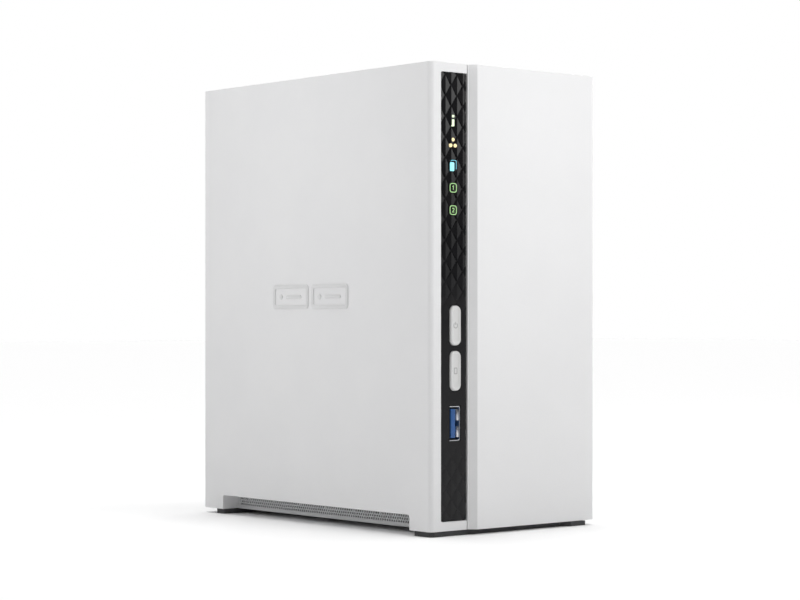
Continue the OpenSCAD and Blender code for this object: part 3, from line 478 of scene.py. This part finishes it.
strip_low, strip_high = box_mm("indicator_bezel")
SIDE_FLANGE, END_FLANGE, GAP, RIGHT_GAP = 1.6, 1.2, 0.12, 0.2
STRIP_LOW = (strip_low[0] + SIDE_FLANGE + GAP, strip_low[2] + END_FLANGE + GAP)
STRIP_HIGH = (strip_high[0] - RIGHT_GAP, strip_high[2] - END_FLANGE - GAP)
CORNER_R = 0.7
FACE = strip_low[1]
RIDGE = FACE - 0.2
VALLEY = FACE + 0.3
FLANGE_FRONT = strip_high[1] - 1
ICON_NODES = ("status_window", "network_window", "copy_window", "disk_1_window", "disk_2_window")
ICON_X = middle("copy_window")[0]
ICON_Z = {node: middle(node)[2] for node in ICON_NODES}
ICON_FRONT = FACE - 0.24
ICON_BACK = box_mm("copy_window")[1][1]
CAP_WIDE, CAP_TALL = 5.7, 15.9
USB_SHIFT, USB_TRIM = (0.3, -0.5), (0.4, 1.1)


def fade(z):
    """How deep the diamonds are at a height, from 0 to 1.

    They are full at the top, gone beside the buttons and faint again below the USB port."""
    power_top = box_mm("power_button")[1][2]
    usb_low = box_mm("front_usb_shell")[0][2]
    full, gone, faint = power_top + 14, power_top - 6, 0.28
    t = min(max((z - gone) / (full - gone), 0.0), 1.0)
    below_usb = min(max((usb_low - 2 - z) / 8, 0.0), 1.0)
    return max(t * t * (3 - 2 * t), faint * below_usb)


def diamonds():
    """A sheet of staggered diamonds with grooves between them, on a solid back.

    Each diamond is a low roof whose ridge stands upright, with one broad face to either side.
    half and rise are a diamond's half width and half height, inner is the part of it that lies
    within the grooves, and hip is how far the ridge stops short of the tip. The pattern is
    counted from a point x0, z0, which was set by the photo."""
    half, rise, inner, hip = 3.1, 4.122, 0.93, 0.15
    x0, z0 = ICON_X - 1.0, ICON_Z["status_window"] + 14.1
    ways = ((1, 0), (0, 1), (-1, 0), (0, -1))
    columns, rows = range(-3, 5), range(-44, 4)
    index, points, faces = {}, [], []

    def corner(u, v, y):
        key = (round(u, 4), round(v, 4))
        if key not in index:
            index[key] = len(points)
            z = z0 + v * rise
            points.append((x0 + u * half, FACE + (y - FACE) * fade(z), z))
        return index[key]

    for i in columns:
        for j in rows:
            if (i + j) % 2 == 0:
                continue
            rim = [corner(i + a, j + b, VALLEY) for a, b in ways]
            foot = [corner(i + a * inner, j + b * inner, VALLEY) for a, b in ways]
            right, top, left, low = foot
            peak, toe = (corner(i, j + b * (inner - hip / rise), RIDGE) for b in (1, -1))
            for k in range(4):
                faces.append([rim[k], rim[(k + 1) % 4], foot[(k + 1) % 4], foot[k]])
            faces += [[right, peak, toe], [left, toe, peak], [right, top, peak],
                      [top, left, peak], [left, low, toe], [low, right, toe]]
    n = len(points)
    back = [(x, FLANGE_FRONT, z) for x, _, z in points]
    seen = {(a, b) for f in faces for a, b in zip(f, f[1:] + f[:1])}
    walls = [[b, a, a + n, b + n] for a, b in seen if (b, a) not in seen]
    mesh = Mesh()
    mesh.add(points + back, faces + [[i + n for i in f[::-1]] for f in faces] + walls)
    return make("diamond_strip", mesh)


def spanned(low, high, r):
    """A rounded rectangle from one corner to the other."""
    return rounded((low[0] + high[0]) / 2, (low[1] + high[1]) / 2, high[0] - low[0],
                   high[1] - low[1], r)


def strip():
    """The diamonds cut to the strip's outline, with a flange behind and openings through both."""
    obj = diamonds()
    outline = Mesh()
    outline.plate([spanned(STRIP_LOW, STRIP_HIGH, CORNER_R)], front, FACE - 2,
                  FLANGE_FRONT - 0.001)
    carve(obj, "INTERSECT", make("outline", outline))
    flange = Mesh()
    flange.plate([spanned(strip_low[::2], strip_high[::2], CORNER_R)], front,
                 FLANGE_FRONT - 0.002, strip_high[1])
    carve(obj, "UNION", make("flange", flange))
    play, icon_play, usb_opening = 0.5, 0.1, (5.9, 14.4)
    openings = []
    for node in ("power_button", "copy_button"):
        x, _, z = middle(node)
        openings.append(rounded(x, z, CAP_WIDE + play, CAP_TALL + play, 2.6))
    x, _, z = middle("front_usb_shell")
    openings.append(rounded(x + USB_SHIFT[0] + 0.2, z + USB_SHIFT[1] + 0.1, *usb_opening, 0.6))
    holes = Mesh()
    for opening in openings + icon_shapes(icon_play):
        holes.plate([opening], front, FACE - 3, strip_high[1] + 1)
    carve(obj, "DIFFERENCE", make("holes", holes))
    obj.data.shade_flat()
    piece("diamond_strip", obj, "chassis", "strip_black", "indicator_bezel")


def icon_shapes(grow=0.0):
    """The outlines of the openings that the indicators shine through."""
    z = ICON_Z["status_window"]
    shapes = [rounded(ICON_X, z - 0.88, 1.15 + 2 * grow, 2.75 + 2 * grow, 0.25 + grow),
              rounded(ICON_X, z + 1.78, 1.15 + 2 * grow, 0.95 + 2 * grow, 0.25 + grow)]
    z = ICON_Z["network_window"]
    shapes += [circle(ICON_X, z + 1.2, 0.72 + grow, 24)]
    shapes += [circle(ICON_X + d, z - 1.15, 0.72 + grow, 24) for d in (-1.2, 1.2)]
    for name in ICON_NODES[2:]:
        low, high = box_mm(name)
        shapes.append(rounded(ICON_X, ICON_Z[name], high[0] - low[0] + 2 * grow,
                              high[2] - low[2] + 2 * grow, 1.1 + grow))
    return shapes


def digit(which, x, z):
    """The pen lines of a 1 or a 2, about 1.6 mm high."""
    if which == 1:
        return [[(x - 0.4, z + 0.45), (x + 0.05, z + 0.8), (x + 0.05, z - 0.8)]]
    top = arc(x, z + 0.36, 0.44, 165, -30, 12)
    return [top + [(x - 0.45, z - 0.75), (x + 0.55, z - 0.75)]]


def icons():
    """Glowing signs for status and network, and glowing drawings on black for the others."""
    shapes = icon_shapes()
    for name, slot, chosen in (("status_window", "window_white_green", shapes[:2]),
                               ("network_window", "window_amber", shapes[2:5])):
        mesh = Mesh()
        for shape in chosen:
            mesh.plate([shape], front, ICON_FRONT, ICON_BACK)
        piece(name.replace("window", "icon"), mesh, "chassis", slot, name, rounding=0.1)
    for shape, name in zip(shapes[5:], ICON_NODES[2:]):
        mask = Mesh()
        mask.plate([shape], front, ICON_FRONT + 0.12, ICON_BACK)
        piece(name.replace("window", "mask"), mask, "chassis", "strip_black", name, rounding=0.05)
    z = ICON_Z["copy_window"]
    low, high = ICON_FRONT, ICON_FRONT + 0.3
    card = Mesh()
    card.plate([rounded(ICON_X - 0.62, z - 0.5, 2.25, 3.5, 0.4)], front, low, high)
    piece("copy_card", card, "chassis", "window_cyan", rounding=0.06)
    behind = [(ICON_X - 1.2, z + 1.55)] + arc(ICON_X - 0.75, z + 1.6, 0.45, 160, 90, 5)
    behind += arc(ICON_X + 1.15, z + 1.6, 0.45, 90, 0, 5) + [(ICON_X + 1.6, z - 1.4)]
    sheet = Mesh()
    sheet.plate([stroke(behind, 0.3)], front, low, high)
    piece("copy_sheet", sheet, "chassis", "window_cyan", look="dim_cyan", rounding=0.04)
    for which in (1, 2):
        z = ICON_Z[f"disk_{which}_window"]
        ring = Mesh()
        ring.plate([rounded(ICON_X, z, 3.75, 3.8, 1.15), rounded(ICON_X, z, 3.05, 3.1, 0.8)[::-1]],
                   front, low, high)
        piece(f"disk_{which}_ring", ring, "chassis", "window_green", rounding=0.05)
        number = Mesh()
        for line in digit(which, ICON_X, z):
            number.plate([stroke(line, 0.3)], front, low, high)
        piece(f"disk_{which}_digit", number, "chassis", "window_green", rounding=0.03)


strip()
icons()


# ------------------------------------------------------------------ buttons

def cap(name, node, body):
    """A button cap with a rounded rim round a dished face, and its flange, stem and sign."""
    low, high = box_mm(node)
    x, _, z = middle(node)
    r, face = 2.4, low[1] + 0.15
    flange = low[1] + 3.9, low[1] + 4.9
    profile = ((0, 0.75), (0.05, 0.5), (0.17, 0.27), (0.36, 0.1), (0.6, 0.01), (0.75, 0.0),
               (0.9, 0.04), (1.1, 0.15), (1.35, 0.27), (1.6, 0.33), (2.0, 0.35))
    loops = [(0, high[1] - 10.6)] + [(inset, face + y) for inset, y in profile]
    mesh = Mesh()
    mesh.loft([[front(u, v, y) for u, v in rounded(x, z, CAP_WIDE - 2 * inset,
                                                   CAP_TALL - 2 * inset, r - inset, 10)]
               for inset, y in loops])
    mesh.plate([rounded(x, z, CAP_WIDE + 1.6, CAP_TALL + 1.6, r)], front, *flange)
    mesh.turned([(1.6, flange[1]), (1.6, high[1] - 0.3), (1.3, high[1])],
                lambda u, v, w: (x + u, w, z + v), 32)
    piece(name, mesh, body, "button_white", node, smooth=40)
    sign = Mesh()
    depth = (face + 0.3, face + 0.5)
    if node == "power_button":
        sign.plate([stroke(arc(x, z, 1.0, 125, 415, 28), 0.3)], front, *depth)
        sign.plate([stroke([(x, z + 0.3), (x, z + 1.35)], 0.3)], front, *depth)
    else:
        sign.plate([rounded(x, z, 1.8, 2.6, 0.4), rounded(x, z, 1.2, 2.0, 0.15)[::-1]], front,
                   *depth)
    piece(name + "_sign", sign, body, "button_white", look="sign_grey", rounding=0.02)


cap("power_cap", "power_button", "power_button")
cap("copy_cap", "copy_button", "copy_button")


# ------------------------------------------------------------------ front USB port

def usb_port():
    """The front port: smaller than the CAD's, and moved right and down, as in the photo."""
    low, high = box_mm("front_usb_shell")
    x, _, z = middle("front_usb_shell")
    x, z = x + USB_SHIFT[0], z + USB_SHIFT[1]
    wide, tall, wall = high[0] - low[0] - USB_TRIM[0], high[2] - low[2] - USB_TRIM[1], 0.35
    clear = wide - 2 * wall, tall - 2 * wall
    rim = FACE + 0.25
    shell = Mesh()
    shell.plate([rounded(x, z, wide, tall, 0.9), rounded(x, z, *clear, 0.55)[::-1]], front, rim,
                high[1])
    piece("usb_shell", shell, "chassis", "steel_plated", "front_usb_shell", rounding=0.08)
    back = Mesh()
    back.plate([rounded(x, z, *clear, 0.55)], front, high[1] - 4.1, high[1] - 0.1)
    piece("usb_back", back, "chassis", "black_plastic")
    springs = Mesh()
    inner = x + wide / 2 - wall
    bow = [(inner + 0.1, rim + 0.6), (inner - 0.75, rim + 1.7), (inner - 1.15, rim + 2.8),
           (inner - 1.1, rim + 4.2), (inner - 0.7, rim + 6.2), (inner + 0.1, rim + 8.2)]
    for side_of in (-1, 1):
        z0, z1 = sorted((z + side_of * 1.15, z + side_of * 5.5))
        springs.plate([stroke(bow, 0.25)], above, z0, z1)
    piece("usb_springs", springs, "chassis", "steel_plated", look="solder", rounding=0.05)
    tongue = Mesh()
    low, high = box_mm("front_usb_tongue")
    block = high[1] - 3.2
    tongue.plate([rounded(x - 0.4, z, 2.4, 11.6, 0.3)], front, low[1], block)
    tongue.plate([rounded(x, z, *clear, 0.3)], front, block - 0.01, high[1])
    piece("usb_tongue", tongue, "chassis", "usb_blue", "front_usb_tongue", rounding=0.2)


usb_port()


# ------------------------------------------------------------------ side mark

def side_mark():
    """A plain sign on the left side: two drive bays, each with a slot and a lamp."""
    face = box_mm("left_shell")[0][0]
    depth = (face - 0.3, face + 0.1)
    mid_y, mid_z = ((cad_low[i] + cad_high[i]) / 2 / MM for i in (1, 2))
    z = mid_z + 1.63
    for k, y in enumerate((mid_y + 1.0 - 13.2, mid_y + 1.0 + 13.2)):
        mark = Mesh()
        mark.plate([rounded(y, z, 24.4, 10.4, 1.6), rounded(y, z, 21.0, 7.0, 0.7)[::-1]], side,
                   *depth)
        mark.plate([rounded(y - 2.0, z, 10.5, 1.5, 0.7)], side, *depth)
        mark.plate([circle(y + 6.8, z, 1.1, 32)], side, *depth)
        piece(f"side_mark_{k + 1}", mark, "chassis", "case_white", look="mark_white",
              rounding=0.15)


side_mark()


# ------------------------------------------------------------------ side vents

def vent(name, node, outward):
    """A panel pierced by rows of small hexagons, with short ribs above them.

    A plain dark plate stands behind the holes as painted shade, for the dim inside of the case.
    outward is -1 on the left and 1 on the right."""
    low, high = box_mm(node)
    pitch, row_h, r, rows = 1.45, 1.24, 0.58, 3
    margin, thick, rib_count = 1.5, 0.45, 7
    count = int((high[1] - low[1] - 2 * margin) / pitch)
    start = (low[1] + high[1] - count * pitch) / 2
    base, ceiling = low[2] + 1.4, high[2] - 0.8
    flat, faces, index = [], [], {}

    def point(u, v):
        key = (round(u, 4), round(v, 4))
        if key not in index:
            index[key] = len(flat)
            flat.append(key)
        return index[key]

    for row in range(rows):
        v0, v1 = base + row * row_h, base + (row + 1) * row_h
        shift = pitch / 2 * (row % 2)
        for k in range(count - row % 2):
            u0 = start + shift + k * pitch
            mid_u, mid_v = u0 + pitch / 2, (v0 + v1) / 2
            rim = [point(u0 + pitch, v0), point(u0 + pitch, v1), point(mid_u, v1),
                   point(u0, v1), point(u0, v0), point(mid_u, v0)]
            hole = [point(mid_u + r * math.cos(a), mid_v + r * math.sin(a))
                    for a in (math.radians(-30 + 60 * i) for i in range(6))]
            for i in range(6):
                faces.append([rim[i], rim[(i + 1) % 6], hole[(i + 1) % 6], hole[i]])
        if row % 2:
            for u in (start, start + count * pitch - shift):
                faces.append([point(u, v0), point(u + shift, v0), point(u + shift, v1),
                              point(u, v1)])
    top = base + rows * row_h
    steps = [start + pitch / 2 * i for i in range(2 * count + 1)]
    for v0, v1 in ((low[2], base), (top, ceiling)):
        for a, b in zip(steps, steps[1:]):
            faces.append([point(a, v0), point(b, v0), point(b, v1), point(a, v1)])
    heights = [low[2], base] + [base + (i + 1) * row_h for i in range(rows)] + [ceiling]
    for u0, u1 in ((low[1], start), (steps[-1], high[1])):
        for a, b in zip(heights, heights[1:]):
            faces.append([point(u0, a), point(u1, a), point(u1, b), point(u0, b)])
    mesh = Mesh()
    face, back = (low[0], high[0]) if outward < 0 else (high[0], low[0])
    mesh.slab(flat, faces, side, *sorted((face, face - outward * thick)))
    piece(name, mesh, "chassis", "vent_grey", node)
    ribs = Mesh()
    for k in range(rib_count):
        y = low[1] + (high[1] - low[1]) * (k + 0.5) / rib_count
        x0, x1 = sorted((face + outward * 0.5, back))
        ribs.block((x0, y - 0.4, ceiling - 1.0), (x1, y + 0.4, high[2]))
    x0, x1 = sorted((face - outward * (thick - 0.01), back))
    ribs.block((x0, low[1], low[2]), (x1, high[1], low[2] + 0.6))
    piece(name + "_ribs", ribs, "chassis", "vent_grey", rounding=0.12)
    # painted shade: a black plate behind the holes stands in for the dim inside of the case, so the
    # holes look dark
    dark = Mesh()
    x0, x1 = sorted((face - outward * 0.9, face - outward * 1.1))
    dark.block((x0, low[1], low[2] + 0.6), (x1, high[1], ceiling))
    piece(name + "_painted_shade_plate", dark, "chassis", "black_plastic")


vent("left_grille", "left_vent", -1)
vent("right_grille", "right_vent", 1)


# ------------------------------------------------------------------ fan rotor

def rotor():
    """A hub cup with a rounded rim, a shaft and seven twisted, curved blades."""
    low, high = box_mm("fan_rotor")
    cx, _, cz = middle("fan_frame")   # seven blades leave the rotor's own box off its axis
    near, back, hub, wall, shaft, tip = low[1], high[1] - 3.0, 17.0, 1.5, 1.4, 36.9
    blades, steps, stations = 7, 10, 9
    mesh = Mesh()

    def turn(u, v, w):
        return (cx + u, w, cz + v)

    mesh.turned([(0.05, near + 2), (hub - wall, near + 2), (hub - wall, back - 0.5),
                 (hub - 0.3, back - 0.5), (hub, back - 0.8), (hub, near + 1.6),
                 (hub - 0.25, near + 0.8), (hub - 0.8, near + 0.25), (hub - 1.6, near),
                 (0.05, near)], turn, 72)
    mesh.turned([(shaft, near + 1.9), (shaft, high[1] - 0.2), (shaft - 0.2, high[1])], turn, 24)
    for k in range(blades):
        loops = []
        for i in range(stations):
            f = i / (stations - 1)
            r = hub - 0.8 + (tip - hub + 0.8) * f
            half = 7.0 + 2.4 * f
            deep = 6.9 - 2.0 * f
            sweep = 2 * math.pi * k / blades + 0.22 * f
            thick = 0.85 - 0.3 * f
            loop = []
            for side_of, order in ((1, range(steps + 1)), (-1, range(steps - 1, 0, -1))):
                for j in order:
                    t = 2 * j / steps - 1
                    angle = sweep + half / r * t
                    y = ((near + back) / 2 + deep * t + 1.6 * (1 - t * t)
                         + side_of * thick * math.sqrt(max(1 - t * t, 0.0)))
                    loop.append((cx + r * math.sin(angle), y, cz + r * math.cos(angle)))
            loops.append(loop)
        mesh.loft(loops)
    piece("rotor", mesh, "fan_rotor", "black_plastic", "fan_rotor", smooth=40)


rotor()


# ------------------------------------------------------------------ small parts on the boards

AROUND = ("left_shell", "cover_shell", "drive_cage", "drive_2_casting", "drive_screws")


def small_parts(name, node, x, outline, count, seed):
    """Little resistors, capacitors and chips on a board's right face, clear of everything else."""
    rng = random.Random(seed)
    grid, gap, edge_gap = 1.5, 0.3, 3
    taken = []
    for other in NODES:
        if other == node or other in AROUND:   # their boxes reach round the boards
            continue
        low, high = box_mm(other)
        if low[0] < x + 1.5 and high[0] > x + 0.05:
            taken.append((low[1] - 0.8, high[1] + 0.8, low[2] - 0.8, high[2] + 0.8))
    low, high = box_mm(node)
    chips, ceramics, ends = Mesh(), Mesh(), Mesh()
    placed = 0
    for _ in range(count * 30):
        length, width, height = rng.choice(((1.6, 0.8, 0.5), (2.0, 1.25, 0.6), (3.2, 1.6, 0.8),
                                            (2.0, 1.25, 0.6), (5.0, 4.0, 1.0)))
        if rng.random() < 0.5:
            length, width = width, length
        y, z = (round(rng.uniform(low[i] + edge_gap, high[i] - edge_gap) / grid) * grid
                for i in (1, 2))
        spot = (y - length / 2 - gap, y + length / 2 + gap, z - width / 2 - gap,
                z + width / 2 + gap)
        if any(spot[0] < t[1] and spot[1] > t[0] and spot[2] < t[3] and spot[3] > t[2]
               for t in taken):
            continue
        if not all(inside(u, v, outline) for u in spot[:2] for v in spot[2:]):
            continue
        taken.append(spot)
        placed += 1
        top = x + height
        if height == 1.0:
            chips.block((x, y - length / 2 + 0.5, z - width / 2 + 0.5),
                        (top, y + length / 2 - 0.5, z + width / 2 - 0.5))
            along = length > width
            for k in range(4):
                for edge in (-1, 1):
                    if along:
                        pin = (y - 1.5 + k, z + edge * (width / 2 - 0.3))
                    else:
                        pin = (y + edge * (length / 2 - 0.3), z - 1.5 + k)
                    ends.block((x, pin[0] - 0.2, pin[1] - 0.2), (x + 0.35, pin[0] + 0.2,
                                                                 pin[1] + 0.2))
        else:
            (chips if rng.random() < 0.4 else ceramics).block(
                (x, y - length / 2 + 0.15, z - width / 2 + 0.15),
                (top, y + length / 2 - 0.15, z + width / 2 - 0.15))
            grip = 0.35
            for edge in (-1, 1):
                if length > width:
                    u = sorted((y + edge * length / 2, y + edge * (length / 2 - grip)))
                    ends.block((x, u[0], z - width / 2), (top + 0.03, u[1], z + width / 2))
                else:
                    v = sorted((z + edge * width / 2, z + edge * (width / 2 - grip)))
                    ends.block((x, y - length / 2, v[0]), (top + 0.03, y + length / 2, v[1]))
        if placed == count:
            break
    slots = (("chips", chips, "chip_black", None), ("ceramics", ceramics, "chip_black", "ceramic"),
             ("ends", ends, "steel_plated", "solder"))
    for suffix, mesh, slot, look in slots:
        piece(f"{name}_{suffix}", mesh, "chassis", slot, look=look)


def inside(u, v, outline):
    """Whether a point lies inside a convex outline given anticlockwise."""
    return all((b[0] - a[0]) * (v - a[1]) - (b[1] - a[1]) * (u - a[0]) > 0
               for a, b in zip(outline, outline[1:] + outline[:1]))


board_low, board_high = box_mm("main_board")
small_parts("main_small", "main_board", board_high[0],
            [(board_low[1] + 2, board_low[2] + 2), (board_high[1] - 2, board_low[2] + 2),
             (board_high[1] - 2, board_high[2] - 2), (board_low[1] + 2, board_high[2] - 2)],
            110, 3)
drive_y, drive_z = middle("drive_2_casting")[1], box_mm("drive_2_casting")[0][2]
small_parts("drive_small", "drive_2_board", box_mm("drive_2_board")[1][0],
            [(drive_y + y, drive_z + z) for y, z in
             ((-41, 7), (41, 7), (41, 61), (19, 96), (-29, 96), (-41, 79))], 90, 5)


# ------------------------------------------------------------------ studio

def camera():
    """The photo's camera, as fitted to the outline of the case."""
    photo_width, shift_px = 800, 17.5
    data = bpy.data.cameras.new("camera")
    data.sensor_width = 36
    data.lens = 96.84
    data.shift_y = shift_px / photo_width
    cam = bpy.data.objects.new("camera", data)
    bpy.context.scene.collection.objects.link(cam)
    cam.location = (-0.6084, -0.7121, 0.0872)
    cam.rotation_euler = (math.radians(90), 0, math.radians(-40.70))
    bpy.context.scene.camera = cam


def softbox(name, place, target, size, power, spread=180):
    """A rectangular light, turned to a target and hidden from the camera."""
    data = bpy.data.lights.new(name, "AREA")
    data.shape = "RECTANGLE"
    data.size, data.size_y = size
    data.energy = power
    data.spread = math.radians(spread)
    lamp = bpy.data.objects.new(name, data)
    bpy.context.scene.collection.objects.link(lamp)
    lamp.location = place
    lamp.visible_camera = False
    lamp.rotation_mode = "QUATERNION"
    lamp.rotation_quaternion = (Vector(target) - Vector(place)).to_track_quat("-Z", "Y")


def studio():
    """A white floor under white surroundings, with three softboxes and a soft sun above.

    The surroundings are bright beyond the case and dim behind the photo's camera, except that
    a camera sees them plain white."""
    beyond = (0.652, 0.758, 0.0)   # the way the photo's camera looks
    world = bpy.data.worlds.new("studio")
    bpy.context.scene.world = world
    world.use_nodes = True
    tree = world.node_tree
    back = tree.nodes["Background"]
    coords = tree.nodes.new("ShaderNodeTexCoord")
    dot = tree.nodes.new("ShaderNodeVectorMath")
    dot.operation = "DOT_PRODUCT"
    dot.inputs[1].default_value = beyond
    tree.links.new(coords.outputs["Generated"], dot.inputs[0])
    ramp = tree.nodes.new("ShaderNodeMapRange")
    ramp.interpolation_type = "SMOOTHSTEP"
    for end, value in (("From Min", -0.75), ("From Max", 0.6), ("To Min", 0.14), ("To Max", 0.82)):
        ramp.inputs[end].default_value = value
    tree.links.new(dot.outputs["Value"], ramp.inputs["Value"])
    seen = tree.nodes.new("ShaderNodeLightPath")
    strength = tree.nodes.new("ShaderNodeMath")
    strength.operation = "MAXIMUM"
    tree.links.new(ramp.outputs[0], strength.inputs[0])
    tree.links.new(seen.outputs["Is Camera Ray"], strength.inputs[1])
    tree.links.new(strength.outputs[0], back.inputs["Strength"])
    back.inputs["Color"].default_value = (1, 1, 1, 1)

    bpy.ops.mesh.primitive_grid_add(x_subdivisions=8, y_subdivisions=8, size=12)
    floor = bpy.context.object
    floor.name = "floor"
    g = finish_of("floor_finish", (0.985, 0.985, 0.985), (0.98, 0.98, 0.98), rough=0.9, depth=0.0)
    floor.data.materials.append(g.material)

    softbox("key_right", (0.85, -0.55, 0.55), (0, 0, 0.12), (0.3, 0.7), 1.3)
    softbox("key_front", (0.12, -0.62, 0.42), (0, -0.078, 0.175), (0.15, 0.15), 0.085, 40)
    softbox("key_left", (-0.55, 0.10, 0.45), (-0.045, 0.01, 0.175), (0.15, 0.15), 0.058, 40)
    sun = bpy.data.lights.new("sun", "SUN")
    sun.energy, sun.angle = 1.65, math.radians(50)
    lamp = bpy.data.objects.new("sun", sun)
    bpy.context.scene.collection.objects.link(lamp)
    lamp.location = (0, 0, 2)
    bpy.context.scene.view_settings.view_transform = "Standard"


camera()
studio()
